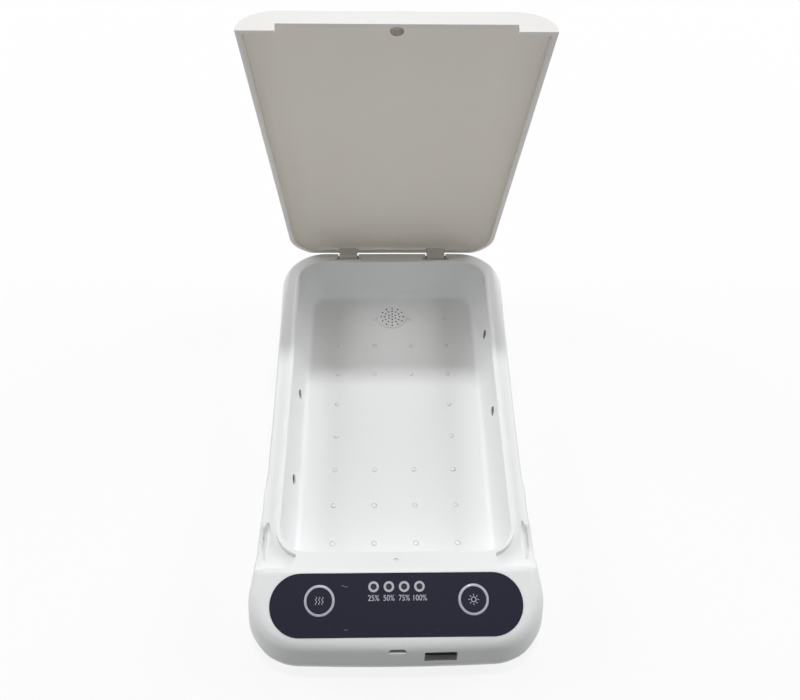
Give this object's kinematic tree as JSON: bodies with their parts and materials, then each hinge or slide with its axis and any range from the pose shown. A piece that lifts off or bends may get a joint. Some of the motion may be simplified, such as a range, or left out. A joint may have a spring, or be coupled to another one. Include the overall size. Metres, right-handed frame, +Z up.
{
  "type": "uv sanitizer box for phones",
  "caption": "Phone sized ultraviolet sanitizer box with a hinged lid, a deep chamber, an aroma vent and a tilted panel with two push buttons.",
  "frame": {"origin": "centre of the rest pose box, on the table plane under the feet", "axes": "+Z up, +Y from the control panel toward the hinge, +X to the right seen from the panel"},
  "size_m": [0.1308, 0.2244, 0.2093],
  "materials": {
    "white_shell": "satin white moulding",
    "white_lid": "satin warm white moulding",
    "white_cover": "satin white moulding",
    "white_insert": "fine matte white",
    "soft_feet": "matte",
    "steel": "plain zinc plated",
    "felt": "soft felt",
    "cup_white": "matte",
    "heater_plate": "plain",
    "clear_nub": "soft translucent white",
    "navy_panel": "gloss, very dark navy",
    "navy_cap": "gloss, very dark navy",
    "silver_ring": "satin chrome plated plastic",
    "lens_white": "milky light guide",
    "led_body": "pale yellow",
    "board_green": "solder mask",
    "black_plastic": "matte",
    "lamp_glass": "clear violet tinted lens",
    "magnet": "nickel plated"
  },
  "bodies": {
    "base": {"upper_housing": "white_shell", "bottom_cover": "white_cover", "rubber_feet": "soft_feet", "case_screws": "steel", "aroma_vent_cap": "white_insert", "aroma_pad": "felt", "aroma_cup": "cup_white", "aroma_heater": "heater_plate", "phone_support_nubs": "clear_nub", "control_overlay": "navy_panel", "indicator_lenses": "lens_white", "indicator_leds": "led_body", "panel_board": "board_green", "tact_switches": "black_plastic", "main_board": "board_green", "board_screws": "steel", "usb_a_shell": "steel", "usb_a_tongue": "black_plastic", "micro_usb_shell": "steel", "micro_usb_tongue": "black_plastic", "micro_usb_stand": "black_plastic", "uv_board_left": "board_green", "uv_board_right": "board_green", "uv_emitters_left": "lamp_glass", "uv_emitters_right": "lamp_glass", "lid_sensor": "black_plastic", "hinge_pins": "steel"},
    "lid": {"lid_cover": "white_lid", "lid_liner": "white_lid", "lid_magnet": "magnet"},
    "left_button": {"left_button_cap": "navy_cap", "left_button_ring": "silver_ring"},
    "right_button": {"right_button_cap": "navy_cap", "right_button_ring": "silver_ring"}
  },
  "joints": [
    {"name": "lid_hinge", "type": "hinge", "parent": "base", "child": "lid", "pos_m": [0, 0.1068, 0.0319], "axis": [-1, 0, 0], "range_deg": [-70, 28]},
    {"name": "left_button_press", "type": "slide", "parent": "base", "child": "left_button", "axis": [0, 0.314, -0.9494], "range_m": [0, 0.0007], "stiffness_N_per_m": 400, "springref_m": -0.0005},
    {"name": "right_button_press", "type": "slide", "parent": "base", "child": "right_button", "axis": [0, 0.314, -0.9494], "range_m": [0, 0.0007], "stiffness_N_per_m": 400, "springref_m": -0.0005}
  ]
}
